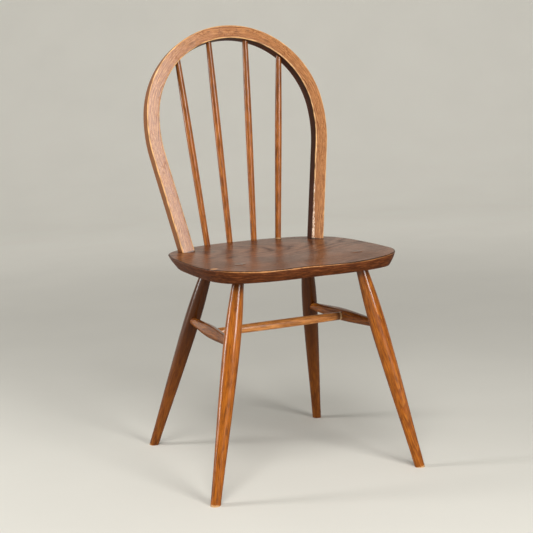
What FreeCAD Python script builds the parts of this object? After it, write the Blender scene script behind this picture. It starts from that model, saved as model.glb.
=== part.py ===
import FreeCAD, Part
import math
import os

# Windsor chair with a bent hoop back and four spindles.
# Millimetres, +Z up, the chair faces -Y, the floor is Z = 0.
# Every piece is its own solid. They meet in drilled sockets with a thin glue line.

V = FreeCAD.Vector

# fits
GLUE = 0.1            # radial gap between a turned end and its socket
SEAT_REST = 0.05      # gap under the hoop's square shoulders
END_GAP = 1.5         # air left at the bottom of a blind socket
OVERRUN = 30.0        # how far a boring or trimming tool runs past the work

# seat
SEAT_TOP = 432.0
SEAT_THICK = 26.0
# half outline from the front centre round to the back centre
SEAT_EDGE = [(0, -166.5), (60, -168), (118.5, -160.5), (167, -139.5), (192, -96.5), (199, -32.5),
             (199, 40), (195, 105), (181, 158), (145, 199), (78, 225), (0, 231)]
SEAT_MIDDLE_Y = 30.0
FRONT_BEVEL = 9.0     # how far the edge leans in at the underside, along the front
UNDER_BEVEL = 16.0    # the same along the sides and back
BEVEL_FRONT_Y = -100.0  # the front lean holds up to here
BEVEL_BACK_Y = 20.0   # and has grown to the other from here
EDGE_UPRIGHT = 10.0   # height of the nearly upright band under the rim
EDGE_LEAN = 1.5
RIM_BEVEL = 1.6
DISH_RADIUS = 142.0
DISH_DEPTH = 4.0
DISH_Y = 15.0
# two wide hollows for the thighs lower the front edge and leave a low ridge between them
THIGH_X = 65.0
THIGH_DEPTH = 4.4     # at the front edge
THIGH_START_Y = -85.0
THIGH_FRONT_Y = -166.0
THIGH_RADIUS = 1900.0

# legs: where the axis stands on the floor and where it meets the seat's underside
FRONT_FOOT = (215.0, -130.0)
FRONT_HEAD = (126.5, -80.0)
BACK_FOOT = (195.0, 300.0)
BACK_HEAD = (108.0, 126.0)
LEG_RADII = [(0.0, 9.6), (0.17, 11.0), (0.35, 13.2), (0.53, 15.0), (0.71, 16.1),
             (0.84, 15.0), (0.93, 12.9), (1.0, 11.0)]
LEG_NECK = 8.0        # plain length of the leg's end below the seat

# wedges that spread the leg ends in the seat
WEDGE_LONG = 19.0
WEDGE_THICK = 3.4
WEDGE_TIP = 0.9
WEDGE_FIT = 0.05

# stretchers
SIDE_FRONT_Z = 288.0
SIDE_BACK_Z = 286.0
SIDE_RADII = [(0.0, 8.2), (0.22, 10.4), (0.5, 12.6), (0.78, 10.4), (1.0, 8.2)]
CROSS_PLACE = 0.45    # share of the side stretcher, from the front
CROSS_RADII = [(0.0, 8.0), (0.5, 8.9), (1.0, 8.0)]
PAST_AXIS = 2.5       # how far a stretcher's end runs past the other piece's axis
PLAIN_END = 18.0      # parallel length at each end of a stretcher

# hoop: lines and arcs in its own leaning plane
HOOP_WIDE = 22.5
HOOP_DEEP = 26.0
HOOP_ROUND = 3.0
HOOP_FOOT_X = 143.3
HOOP_FOOT_Y = 142.0   # front face at the seat's top
HOOP_LEAN = 11.1      # degrees backwards
HOOP_SPLAY = 10.35    # degrees outwards, straight part
HOOP_STRAIGHT = 202.4
HOOP_SIDE_RADIUS = 279.5
HOOP_SIDE_TURN = 18.0
HOOP_TENON_RADIUS = 8.5

# spindles: foot on the seat and place on the top arc in degrees from the crown
SPINDLES = {"inner": (27.3, 214.0, 12.9), "outer": (80.2, 207.0, 38.3)}
SPINDLE_RADII = [(0.0, 6.3), (0.3, 6.8), (0.75, 7.0), (0.92, 6.3), (1.0, 5.8)]
SPINDLE_IN_SEAT = 15.0
SPINDLE_PLAIN = 16.0

SEAT_UNDER = SEAT_TOP - SEAT_THICK
SIDES = {"left": -1, "right": 1}


def place_along(shape, start, end):
    """Moves a shape made on the Z axis so that it runs from start towards end."""
    turn = FreeCAD.Rotation(V(0, 0, 1), end - start)
    shape.Placement = FreeCAD.Placement(start, turn)
    return shape


def rod(start, end, radius):
    """Plain round bar, also the tool that bores a socket."""
    return place_along(Part.makeCylinder(radius, (end - start).Length), start, end)


def turning(start, end, radii, plain_start, plain_end):
    """Turned piece: plain ends, and one curve through the listed radii between them."""
    length = (end - start).Length
    work = length - plain_start - plain_end
    curve_points = [V(r, 0, plain_start + share * work) for share, r in radii]
    curve = Part.BSplineCurve()
    curve.interpolate(curve_points)
    first = radii[0][1]
    last = radii[-1][1]
    edges = [Part.makeLine(V(0, 0, 0), V(first, 0, 0))]
    edges.append(Part.makeLine(V(first, 0, 0), curve_points[0]))
    edges.append(curve.toShape())
    edges.append(Part.makeLine(curve_points[-1], V(last, 0, length)))
    edges.append(Part.makeLine(V(last, 0, length), V(0, 0, length)))
    edges.append(Part.makeLine(V(0, 0, length), V(0, 0, 0)))
    face = Part.Face(Part.Wire(edges))
    return place_along(face.revolve(V(0, 0, 0), V(0, 0, 1), 360), start, end)


def stretched(start, end, past):
    """The point on the line through start and end that lies past the end."""
    return end + (end - start).normalize() * past


# seat

def seat_wire(front_inset, inset, height):
    """The seat's outline, drawn in by one inset along the front and another behind, at one height."""
    middle = V(0, SEAT_MIDDLE_Y, 0)
    half = [V(x, y, 0) for x, y in SEAT_EDGE]
    other = [V(-p.x, p.y, 0) for p in reversed(half[1:-1])]
    points = []
    for p in half + other:
        ray = p - middle
        share = min(1.0, max(0.0, (p.y - BEVEL_FRONT_Y) / (BEVEL_BACK_Y - BEVEL_FRONT_Y)))
        drawn_in = front_inset + (inset - front_inset) * share
        points.append(middle + ray * ((ray.Length - drawn_in) / ray.Length) + V(0, 0, height))
    curve = Part.BSplineCurve()
    curve.interpolate(Points=points, PeriodicFlag=True)
    return Part.Wire([curve.toShape()])


def seat_blank():
    """Plank with an under-bevelled edge and a small bevel along the rim."""
    levels = [(FRONT_BEVEL, UNDER_BEVEL, SEAT_UNDER),
              (EDGE_LEAN, EDGE_LEAN, SEAT_TOP - RIM_BEVEL - EDGE_UPRIGHT),
              (0, 0, SEAT_TOP - RIM_BEVEL), (RIM_BEVEL, RIM_BEVEL, SEAT_TOP)]
    return Part.makeLoft([seat_wire(*level) for level in levels], True, True)


def dish_tool():
    """Large ball that hollows the seat."""
    ball = (DISH_RADIUS ** 2 + DISH_DEPTH ** 2) / (2 * DISH_DEPTH)
    centre = V(0, DISH_Y, SEAT_TOP - DISH_DEPTH + ball)
    tool = Part.makeSphere(ball, centre)
    reach = 2 * DISH_RADIUS
    window = Part.makeBox(2 * reach, 2 * reach, reach, V(-reach, DISH_Y - reach, SEAT_UNDER))
    return tool.common(window)


def thigh_tool(side):
    """Large round bar that slopes down to the front and hollows one thigh's place."""
    back = V(side * THIGH_X, THIGH_START_Y, SEAT_TOP)
    front = V(side * THIGH_X, THIGH_FRONT_Y, SEAT_TOP - THIGH_DEPTH)
    along = (front - back).normalize()
    lift = V(side, 0, 0).cross(along) * (side * THIGH_RADIUS)
    if lift.z < 0:
        lift = lift * -1
    return rod(back - along * OVERRUN + lift, front + along * OVERRUN + lift, THIGH_RADIUS)


def above_seat():
    """Everything over the seat's top face, to trim the leg ends flush."""
    reach = 2 * DISH_RADIUS
    slab = Part.makeBox(2 * reach, 2 * reach, reach, V(-reach, -reach, SEAT_TOP))
    return slab.fuse(dish_tool())


def make_seat(bores):
    seat = seat_blank().cut(dish_tool())
    for side in SIDES.values():
        seat = seat.cut(thigh_tool(side))
    for tool in bores:
        seat = seat.cut(tool)
    return seat


# legs

def leg_axis(side, foot, head):
    """Points where a leg's axis meets the floor and the seat's underside."""
    return V(side * foot[0], foot[1], 0), V(side * head[0], head[1], SEAT_UNDER)


def on_axis(axis, height):
    """The point of a leg's axis at one height."""
    low, high = axis
    return low + (high - low) * (height / SEAT_UNDER)


def leg_length_past(axis):
    """Length of axis that spans the seat and a little more, to be trimmed."""
    low, high = axis
    return (high - low).Length * SEAT_THICK / SEAT_UNDER + LEG_NECK


def leg_body(axis):
    low, high = axis
    start = stretched(high, low, LEG_NECK)
    end = stretched(low, high, leg_length_past(axis))
    blank = turning(start, end, LEG_RADII, LEG_NECK, LEG_NECK + leg_length_past(axis))
    floor = Part.makeBox(8 * OVERRUN, 8 * OVERRUN, 2 * OVERRUN,
                         V(low.x - 4 * OVERRUN, low.y - 4 * OVERRUN, -2 * OVERRUN))
    return blank.cut(floor)


def leg_bore(axis):
    """Through hole in the seat for a leg's end."""
    low, high = axis
    return rod(stretched(low, high, -OVERRUN), stretched(low, high, OVERRUN * 2),
               LEG_RADII[-1][1] + GLUE)


def wedge_form(axis, grow):
    """Taper that is driven into a leg's end, across the seat's grain."""
    low, high = axis
    along = (high - low).normalize()
    across = along.cross(V(1, 0, 0)).normalize()
    thin = across.cross(along).normalize()
    top = stretched(low, high, leg_length_past(axis))
    tip = on_axis(axis, SEAT_TOP) - along * WEDGE_LONG
    slope = (WEDGE_THICK - WEDGE_TIP) / 2 / WEDGE_LONG
    half_top = WEDGE_TIP / 2 + slope * (top - tip).Length + grow
    half_tip = WEDGE_TIP / 2 + grow
    tip = tip - along * grow
    corners = [tip - thin * half_tip, tip + thin * half_tip, top + thin * half_top, top - thin * half_top]
    face = Part.Face(Part.makePolygon(corners + corners[:1]))
    reach = 2 * LEG_RADII[-1][1]
    face.translate(across * -reach)
    return face.extrude(across * 2 * reach)


def make_wedge(axis, trim):
    low, high = axis
    end = stretched(low, high, leg_length_past(axis))
    tenon = rod(stretched(low, high, -OVERRUN), end, LEG_RADII[-1][1])
    return wedge_form(axis, 0).common(tenon).cut(trim)


def make_leg(axis, trim, sockets):
    leg = leg_body(axis).cut(trim).cut(wedge_form(axis, WEDGE_FIT))
    for tool in sockets:
        leg = leg.cut(tool)
    return leg


# stretchers

def make_stretcher(start, end, radii):
    return turning(start, end, radii, PLAIN_END, PLAIN_END)


def socket_tools(start, end, radii):
    """Two boring tools, one for each end of a stretcher."""
    tools = []
    for near, far, radius in ((start, end, radii[0][1]), (end, start, radii[-1][1])):
        inside = stretched(far, near, END_GAP)
        tools.append(rod(inside, stretched(far, near, -OVERRUN), radius + GLUE))
    return tools


# hoop

def hoop_up():
    lean = math.radians(HOOP_LEAN)
    return V(0, math.sin(lean), math.cos(lean))


def hoop_back():
    lean = math.radians(HOOP_LEAN)
    return V(0, math.cos(lean), -math.sin(lean))


def on_hoop(x, rise, back):
    """A point given by its place in the hoop's leaning front plane and its depth."""
    return V(x, HOOP_FOOT_Y, SEAT_TOP) + hoop_up() * rise + hoop_back() * back


def hoop_marks(outward):
    """Ends and centres of the half hoop's line and arcs, offset outwards, in plane coordinates."""
    splay = math.radians(HOOP_SPLAY)
    turn = math.radians(HOOP_SIDE_TURN)
    along = (math.sin(splay), math.cos(splay))
    normal = (math.cos(splay), -math.sin(splay))
    low = -OVERRUN
    foot = (HOOP_FOOT_X + along[0] * low + normal[0] * outward, along[1] * low + normal[1] * outward)
    knee = (HOOP_FOOT_X + along[0] * HOOP_STRAIGHT, along[1] * HOOP_STRAIGHT)
    centre = (knee[0] - normal[0] * HOOP_SIDE_RADIUS, knee[1] - normal[1] * HOOP_SIDE_RADIUS)
    side = HOOP_SIDE_RADIUS + outward
    start = -splay
    knee_out = (centre[0] + side * math.cos(start), centre[1] + side * math.sin(start))
    bend = (centre[0] + side * math.cos(start + turn / 2), centre[1] + side * math.sin(start + turn / 2))
    shoulder = (centre[0] + side * math.cos(start + turn), centre[1] + side * math.sin(start + turn))
    crown_radius = HOOP_SIDE_RADIUS + centre[0] / math.cos(start + turn)
    crown_y = centre[1] - centre[0] * math.tan(start + turn)
    return foot, knee_out, bend, shoulder, crown_radius + outward, crown_y


def hoop_line(outward):
    """Edges of the whole hoop's outline at one offset, from the right foot to the left foot."""
    foot, knee, bend, shoulder, crown, crown_y = hoop_marks(outward)
    flat = [V(p[0], p[1], 0) for p in (foot, knee, bend, shoulder)]
    mirror = [V(-p.x, p.y, 0) for p in flat]
    top = V(0, crown_y + crown, 0)
    edges = [Part.makeLine(flat[0], flat[1]), Part.Arc(flat[1], flat[2], flat[3]).toShape()]
    edges.append(Part.Arc(flat[3], top, mirror[3]).toShape())
    edges.append(Part.Arc(mirror[3], mirror[2], mirror[1]).toShape())
    edges.append(Part.makeLine(mirror[1], mirror[0]))
    return edges, flat[0], mirror[0]


def hoop_bar():
    """The bent bar with rounded edges, in its leaning plane."""
    outer, outer_start, outer_end = hoop_line(HOOP_WIDE / 2)
    inner, inner_start, inner_end = hoop_line(-HOOP_WIDE / 2)
    ends = [Part.makeLine(outer_end, inner_end), Part.makeLine(inner_start, outer_start)]
    face = Part.Face(Part.Wire(Part.__sortEdges__(outer + inner + ends)))
    bar = face.extrude(V(0, 0, -HOOP_DEEP))
    long_edges = [e for e in bar.Edges if not runs_through(e) and not at_end(e)]
    bar = bar.makeFillet(HOOP_ROUND, long_edges)
    bar.Placement = hoop_placement()
    return bar


def runs_through(edge):
    """True for the short edges that run front to back."""
    box = edge.BoundBox
    return box.ZLength > HOOP_DEEP / 2


def at_end(edge):
    """True for the short edges across the two feet."""
    return edge.Length < HOOP_WIDE * 1.01


def hoop_placement():
    """Local X stays, local Y climbs the back, local Z faces forwards."""
    turn = FreeCAD.Rotation(V(1, 0, 0), 90 - HOOP_LEAN)
    return FreeCAD.Placement(on_hoop(0, 0, 0), turn)


def hoop_leg_direction(side):
    splay = math.radians(HOOP_SPLAY)
    return V(side * math.sin(splay), 0, 0) + hoop_up() * math.cos(splay)


def hoop_tenon(side, radius, low, high):
    """Round end below the hoop's shoulder, between two heights along its axis."""
    base = on_hoop(side * HOOP_FOOT_X, 0, HOOP_DEEP / 2)
    step = hoop_leg_direction(side)
    base = base + step * ((SEAT_TOP - base.z) / step.z)
    return rod(base + step * low, base + step * high, radius)


def make_hoop(sockets):
    """Bar cut square on the seat, with round ends that pass through it."""
    reach = 2 * HOOP_FOOT_X
    below = Part.makeBox(2 * reach, 2 * reach, reach, V(-reach, -reach / 2, SEAT_TOP + SEAT_REST - reach))
    under = Part.makeBox(2 * reach, 2 * reach, reach, V(-reach, -reach / 2, SEAT_UNDER - reach))
    hoop = hoop_bar().cut(below)
    for side in SIDES.values():
        tenon = hoop_tenon(side, HOOP_TENON_RADIUS, -2 * SEAT_THICK, HOOP_TENON_RADIUS)
        hoop = hoop.fuse(tenon.cut(under))
    for tool in sockets:
        hoop = hoop.cut(tool)
    return hoop.removeSplitter()


# spindles

def spindle_axis(side, foot_x, foot_y, angle):
    """Ends of a spindle: in the seat, and at the middle of the hoop's bar."""
    crown_radius, crown_y = hoop_marks(0)[-2:]
    turn = math.radians(angle)
    head = on_hoop(side * crown_radius * math.sin(turn), crown_y + crown_radius * math.cos(turn),
                   HOOP_DEEP / 2)
    foot = V(side * foot_x, foot_y, SEAT_TOP)
    down = (foot - head).normalize()
    return foot + down * SPINDLE_IN_SEAT, head


def make_all():
    axes = {}
    for side, sign in SIDES.items():
        axes["front_leg_" + side] = leg_axis(sign, FRONT_FOOT, FRONT_HEAD)
        axes["back_leg_" + side] = leg_axis(sign, BACK_FOOT, BACK_HEAD)

    trim = above_seat()
    parts = {}
    side_sockets = {}
    centre_points = []
    for side in SIDES:
        front = on_axis(axes["front_leg_" + side], SIDE_FRONT_Z)
        back = on_axis(axes["back_leg_" + side], SIDE_BACK_Z)
        centre_points.append(front + (back - front) * CROSS_PLACE)
        start = stretched(back, front, PAST_AXIS)
        end = stretched(front, back, PAST_AXIS)
        parts["side_stretcher_" + side] = make_stretcher(start, end, SIDE_RADII)
        side_sockets[side] = socket_tools(start, end, SIDE_RADII)

    left, right = centre_points
    start = stretched(right, left, PAST_AXIS)
    end = stretched(left, right, PAST_AXIS)
    parts["cross_stretcher"] = make_stretcher(start, end, CROSS_RADII)
    for side, tool in zip(SIDES, socket_tools(start, end, CROSS_RADII)):
        parts["side_stretcher_" + side] = parts["side_stretcher_" + side].cut(tool)

    for side in SIDES:
        for number, row in enumerate(("front_leg_", "back_leg_")):
            axis = axes[row + side]
            parts[row + side] = make_leg(axis, trim, [side_sockets[side][number]])
            parts[row.replace("leg", "wedge") + side] = make_wedge(axis, trim)

    seat_bores = [leg_bore(axis) for axis in axes.values()]
    hoop_sockets = []
    for side, sign in SIDES.items():
        seat_bores.append(hoop_tenon(sign, HOOP_TENON_RADIUS + GLUE, -2 * SEAT_THICK, OVERRUN))
        for name, (foot_x, foot_y, angle) in SPINDLES.items():
            foot, head = spindle_axis(sign, foot_x, foot_y, angle)
            node = name + "_spindle_" + side
            parts[node] = turning(foot, head, SPINDLE_RADII, SPINDLE_PLAIN, SPINDLE_PLAIN)
            low = stretched(head, foot, END_GAP)
            seat_bores.append(rod(low, stretched(head, foot, -OVERRUN), SPINDLE_RADII[0][1] + GLUE))
            high = stretched(foot, head, END_GAP)
            hoop_sockets.append(rod(high, stretched(foot, head, -OVERRUN), SPINDLE_RADII[-1][1] + GLUE))
    parts["seat"] = make_seat(seat_bores)
    parts["hoop"] = make_hoop(hoop_sockets)
    return parts


def write_all(parts):
    """Centres the chair on its own footprint and writes one file for each piece."""
    os.makedirs("parts", exist_ok=True)
    box = Part.makeCompound(list(parts.values())).optimalBoundingBox()
    shift = V(-(box.XMin + box.XMax) / 2, -(box.YMin + box.YMax) / 2, -box.ZMin)
    for name, shape in parts.items():
        solid = shape.Solids[0] if len(shape.Solids) == 1 else shape
        moved = solid.copy()
        moved.translate(shift)
        moved.exportStep("parts/" + name + ".step")
        print(name, len(shape.Solids), shape.isValid(), round(shape.Volume))
    print("shift", shift)
    print("box", box)


write_all(make_all())
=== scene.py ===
"""Looks of a hoop-back windsor chair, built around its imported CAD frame."""

import math
from functools import partial

import bmesh
import bpy
from bpy.props import FloatProperty, PointerProperty, StringProperty
from mathutils import Matrix, Vector


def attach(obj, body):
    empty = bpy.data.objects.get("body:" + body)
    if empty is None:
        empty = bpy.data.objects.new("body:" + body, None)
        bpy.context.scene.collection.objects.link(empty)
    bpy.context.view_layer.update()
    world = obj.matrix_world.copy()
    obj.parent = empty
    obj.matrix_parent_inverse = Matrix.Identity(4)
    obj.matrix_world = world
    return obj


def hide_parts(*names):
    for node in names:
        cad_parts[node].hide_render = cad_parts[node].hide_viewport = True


bl_info = {
    "name": "Hoop-back windsor chair",
    "version": (1, 0, 0),
    "blender": (4, 5, 0),
    "location": "View3D > Sidebar > Chair",
    "description": "Dresses the chair's frame: plank seat, bent hoop, turnings and studio",
    "category": "Object",
}

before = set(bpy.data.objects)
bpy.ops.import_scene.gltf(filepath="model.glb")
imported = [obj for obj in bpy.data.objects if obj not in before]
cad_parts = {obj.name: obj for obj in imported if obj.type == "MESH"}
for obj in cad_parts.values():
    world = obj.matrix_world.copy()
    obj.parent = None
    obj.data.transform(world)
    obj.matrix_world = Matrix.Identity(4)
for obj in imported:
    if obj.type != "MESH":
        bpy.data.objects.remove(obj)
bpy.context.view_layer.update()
MM = 0.001
TO_MM = 1000
PHOTO_PX = 533
BODY = "root"
SIDES = {"left": -1, "right": 1}

# The CAD source's own figures in millimetres; SHIFT_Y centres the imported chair.
SHIFT_Y = -71.320
SEAT_TOP = 432.0
SEAT_UNDER = 406.0
SEAT_EDGE = [(0, -166.5), (60, -168), (118.5, -160.5), (167, -139.5), (192, -96.5), (199, -32.5),
             (199, 40), (195, 105), (181, 158), (145, 199), (78, 225), (0, 231)]
SEAT_MIDDLE_Y = 30.0
LEG_AXES = {"front_leg": ((215.0, -130.0), (126.5, -80.0)), "back_leg": ((195.0, 300.0), (108.0, 126.0))}
SIDE_Z = {"front_leg": 288.0, "back_leg": 286.0}
CROSS_PLACE = 0.45
HOOP_FOOT = (143.3, 142.0)
HOOP_LEAN = math.radians(11.1)
HOOP_SPLAY = math.radians(10.35)
HOOP_STRAIGHT = 202.4
HOOP_SIDE_RADIUS = 279.5
HOOP_SIDE_TURN = math.radians(18.0)
SPINDLES = {"inner": (27.3, 214.0, 12.9), "outer": (80.2, 207.0, 38.3)}

# The hoop's plane, and in it the way of its right leg's straight run and of that leg's outer side.
HOOP_UP = Vector((0, math.sin(HOOP_LEAN), math.cos(HOOP_LEAN)))
HOOP_BACK = Vector((0, math.cos(HOOP_LEAN), -math.sin(HOOP_LEAN)))
LEG_RUN = Vector((math.sin(HOOP_SPLAY), math.cos(HOOP_SPLAY)))
LEG_OUT = Vector((math.cos(HOOP_SPLAY), -math.sin(HOOP_SPLAY)))

# The bow's section, a little stouter than its CAD solid on the same line.
HOOP_WIDE = 26.4
HOOP_DEEP = 28.2
HOOP_ROUND = 2.4
HOOP_STEPS = {"crown": 56, "side": 14, "leg": 22}
STEPS_BELOW_FOOT = 2
SHOULDER_GAP = 0.05

# The seat's edge in rings, from the underside up. Each has how far in it lies at the front and behind, its
# share of the height up to the top or else its drop below the top, and its distance from the arris.
SEAT_RINGS = [(7.9, 15.2, 0.02, -30), (4.9, 11.2, 0.24, -20), (2.0, 6.4, 0.5, -13), (1.2, 4.6, 0.6, -10),
              (0.4, 1.4, 0.83, -4.6), (0.05, 0.05, -1.9, -1.6), (0.3, 0.3, -0.9, -0.4),
              (0.9, 0.9, -0.35, 0.5), (2.0, 2.0, -0.08, 1.7), (6.0, 6.0, 0.0, 5.0)]
# The underside's ring lies in by the first figure at the front, and by the second more behind.
UNDER_IN = (8.8, 6.9)
# The front's edge turns into the sides' edge between these two places.
SIDE_EDGE_Y = (-165, -85)
# The top's rings, as shares of the way from the middle to the rim's last ring.
TOP_RINGS = [0.965, 0.93, 0.88, 0.82, 0.76, 0.69, 0.62, 0.55, 0.48, 0.41, 0.34, 0.27, 0.2, 0.13, 0.06]
TOP_RIM_IN = 6
RIM_POINTS = 144
SPLINE_STEPS = 40
# Distances from the arris that stand for the underside and for the open top.
UNDERSIDE_RIM = -32
OPEN_TOP_RIM = 40
# The dish's middle, and how far it reaches sideways and to the front and back.
DISH_Y = 15
DISH_REACH = (150, 140)
# The front edge's wear starts and is full this far in front of the origin, and this far in from the sides.
WORN_IN_FRONT = (62, 157)
WORN_ACROSS = (-185, -100)
# It isn't even. Each row is a share of depth more or less, its middle and its reach.
THIGH_WEAR = ((-0.24, -32, 26), (0.17, 56, 42), (-0.1, -95, 40))
# Tenons and wedges stand this far above the top, so that they show.
TENONS_PROUD = 0.15
# This much of a leg's end took the seat's stain.
TENON_SHOWN = 9

# One year's growth, in millimetres.
BEECH_YEAR = 2.4
ELM_YEAR = 7
# The log's pith lies this far behind the middle and below the seat's top.
PITH_BACK = 60
PITH_DOWN = 180
# The chip in the seat's front left corner, whose pale spot is bare wood and also a painted highlight:
# its place in metres, and the scale that flattens it.
CHIP_GLINT_AT = (-0.1805, -0.172, 0.4305)
CHIP_GLINT_SCALE = (1150, 1150, 3000)

# The camera looks at a point this far to the right of the chair's middle and this high, in metres.
AIM_RIGHT = -0.03319
AIM_HEIGHT = 0.40697
# Each lamp: width and height, bearing from the chair's front in degrees, distance, and height of its middle.
LAMPS = {"main": ((1.3, 1.3), -24, 2.0, 2.7), "sheen": ((0.85, 1.8), 11, 3.0, 1.35),
         "side": ((0.5, 1.8), -108, 2.3, 1.0)}
LAMPS_AIM = 0.45
PAPER_SIZE = 14
PAPER_RISE = 6
PAPER_BEND = 2.5

# Settings of a node that mixes two colours, of one that multiplies them, and of a soft span.
COLOURS = {"output": 2, "data_type": "RGBA"}
STAINING = {**COLOURS, "blend_type": "MULTIPLY"}
SMOOTH = {"interpolation_type": "SMOOTHSTEP"}


def linear(hex_colour):
    """sRGB hex such as '#A0622A' as linear RGBA."""
    values = [int(hex_colour[i:i + 2], 16) / 255 for i in (1, 3, 5)]
    return [v / 12.92 if v <= 0.04045 else ((v + 0.055) / 1.055) ** 2.4 for v in values] + [1.0]


def add_node(tree, kind, links=None, output=0, stops=None, **settings):
    """Adds a node, sets its properties, links or sets its inputs, and gives back one of its outputs.

    A Map Range takes its value, span and results as 0 to 4, and a Mix its factor and colours as 0, 6 and 7.
    A ramp's stops have linear colours or sRGB hex."""
    node = tree.nodes.new("ShaderNode" + kind)
    for name, value in settings.items():
        setattr(node, name, value)
    for socket, value in (links or {}).items():
        if isinstance(value, bpy.types.NodeSocket):
            tree.links.new(value, node.inputs[socket])
        else:
            node.inputs[socket].default_value = value
    for i, (at, colour) in enumerate(stops or ()):
        ramp = node.color_ramp.elements
        stop = ramp[i] if i < 2 else ramp.new(at)
        stop.position, stop.color = at, linear(colour) if isinstance(colour, str) else colour
    return node.outputs[output]


def point(x, y, z):
    """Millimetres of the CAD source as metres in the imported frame."""
    return Vector((x, y + SHIFT_Y, z)) * MM


def share_of(value, start, end):
    """How far a value has gone from start to end, from 0 to 1."""
    return min(1.0, max(0.0, (value - start) / (end - start)))


def eased(share):
    """The same share with a slow start and end."""
    return share * share * (3 - 2 * share)


# Places


def leg_point(row, sign, height):
    """A point on a leg's axis."""
    (fx, fy), (hx, hy) = LEG_AXES[row]
    share = height / SEAT_UNDER
    return point(sign * (fx + (hx - fx) * share), fy + (hy - fy) * share, height)


def cross_end(sign):
    """Where the cross stretcher's axis meets a side stretcher's axis."""
    front, back = (leg_point(row, sign, SIDE_Z[row]) for row in LEG_AXES)
    return front.lerp(back, CROSS_PLACE)


def on_hoop(x, rise, back):
    """A point from the hoop's leaning front plane and its depth, all in millimetres."""
    return point(x, HOOP_FOOT[1], SEAT_TOP) + (HOOP_UP * rise + HOOP_BACK * back) * MM


def hoop_arcs():
    """Knee and centre of the side arc, then centre height and radius of the crown, in its plane."""
    knee = Vector((HOOP_FOOT[0], 0)) + LEG_RUN * HOOP_STRAIGHT
    centre = knee - LEG_OUT * HOOP_SIDE_RADIUS
    turned = HOOP_SIDE_TURN - HOOP_SPLAY
    crown_radius = HOOP_SIDE_RADIUS + centre.x / math.cos(turned)
    crown_rise = centre.y - centre.x * math.tan(turned)
    return knee, centre, crown_rise, crown_radius


def spindle_ends(name, sign):
    """A spindle's foot on the seat and its head on the bow's line."""
    foot_x, foot_y, angle = SPINDLES[name]
    crown_rise, crown_radius = hoop_arcs()[2:]
    turn = math.radians(angle)
    across, rise = sign * crown_radius * math.sin(turn), crown_rise + crown_radius * math.cos(turn)
    return point(sign * foot_x, foot_y, SEAT_TOP), on_hoop(across, rise, HOOP_DEEP / 2)


def turned_axes():
    """Every turned node's start and end on its own axis."""
    axes = {}
    for side, sign in SIDES.items():
        for row in LEG_AXES:
            axes[f"{row}_{side}"] = (leg_point(row, sign, 0), leg_point(row, sign, SEAT_TOP))
        axes[f"side_stretcher_{side}"] = tuple(leg_point(row, sign, SIDE_Z[row]) for row in LEG_AXES)
        for name in SPINDLES:
            axes[f"{name}_spindle_{side}"] = spindle_ends(name, sign)
    axes["cross_stretcher"] = (cross_end(-1), cross_end(1))
    return axes


def turned_nodes(word):
    """Number, name, axis and length in millimetres of each turned node whose name has the word."""
    for number, (node, axis) in enumerate((n, a) for n, a in turned_axes().items() if word in n):
        yield number, node, axis, (axis[1] - axis[0]).length * TO_MM


# Materials


def new_wood(name, coat_roughness):
    """An empty lacquered-wood material, what adds a node to it, and its shader."""
    material = bpy.data.materials.new(name)
    material.use_nodes = True
    shader = material.node_tree.nodes["Principled BSDF"]
    shader.inputs["IOR"].default_value = 1.5
    shader.inputs["Coat Roughness"].default_value = coat_roughness
    shader.inputs["Specular IOR Level"].default_value = 0.12
    return material, partial(add_node, material.node_tree), shader


def finish_wood(add, shader, colour, streak, depth, coat, dull=None):
    """Colour, coat, a little unevenness of the sheen, and pores as bump of the given depth in metres.

    dull is where the lacquer has worn or never reached, from 0 to 1."""
    rough = add("MapRange", {0: streak, 1: 0.3, 2: 0.7, 3: 0.52, 4: 0.38})
    bump = add("Bump", {"Height": streak, "Strength": 0.45, "Distance": depth})
    surface = {"Base Color": colour, "Roughness": rough, "Normal": bump, "Coat Normal": bump}
    if dull:
        surface["Coat Weight"] = add("MapRange", {0: dull, 1: 0.0, 2: 1.0, 3: coat, 4: 0.0})
    else:
        shader.inputs["Coat Weight"].default_value = coat
    for socket, value in surface.items():
        shader.id_data.links.new(value, shader.inputs[socket])


def laid_over(add, colour, paint, value, span, amounts, **settings):
    """Lays a paint over a colour by amounts that follow a value over its span.

    Gives back the new colour, and how much of the paint lies there."""
    cover = add("MapRange", {0: value, 1: span[0], 2: span[1], 3: amounts[0], 4: amounts[1]}, **settings)
    return add("Mix", {0: cover, 6: colour, 7: paint}, **COLOURS), cover


def unevenly_stained(add, colour, place, scale, amount, stops, detail=5.0, roughness=0.7, moved=(0, 0, 0)):
    """Stains a colour in streaks or patches that are drawn out along the grain.

    scale is how many there are in a millimetre of each axis. Gives back the new colour, and the streaks."""
    streak = add("TexNoise", {"Vector": add("Mapping", {
        "Vector": place, "Location": moved, "Scale": scale}),
        "Scale": 1.0, "Detail": detail, "Roughness": roughness})
    stain = add("ValToRGB", {0: streak}, stops=stops)
    return add("Mix", {0: amount, 6: colour, 7: stain}, **STAINING), streak


def along_axis(add, start, end):
    """Object coordinates turned to millimetres on a piece's own axis: Z runs from start to end."""
    turn = (end - start).to_track_quat("Z", "Y").to_matrix().transposed()
    place = add("TexCoord", output=3)
    return add("Mapping", {"Vector": place, "Location": turn @ start * -TO_MM,
                           "Rotation": turn.to_euler("XYZ"), "Scale": [TO_MM] * 3})


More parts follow.
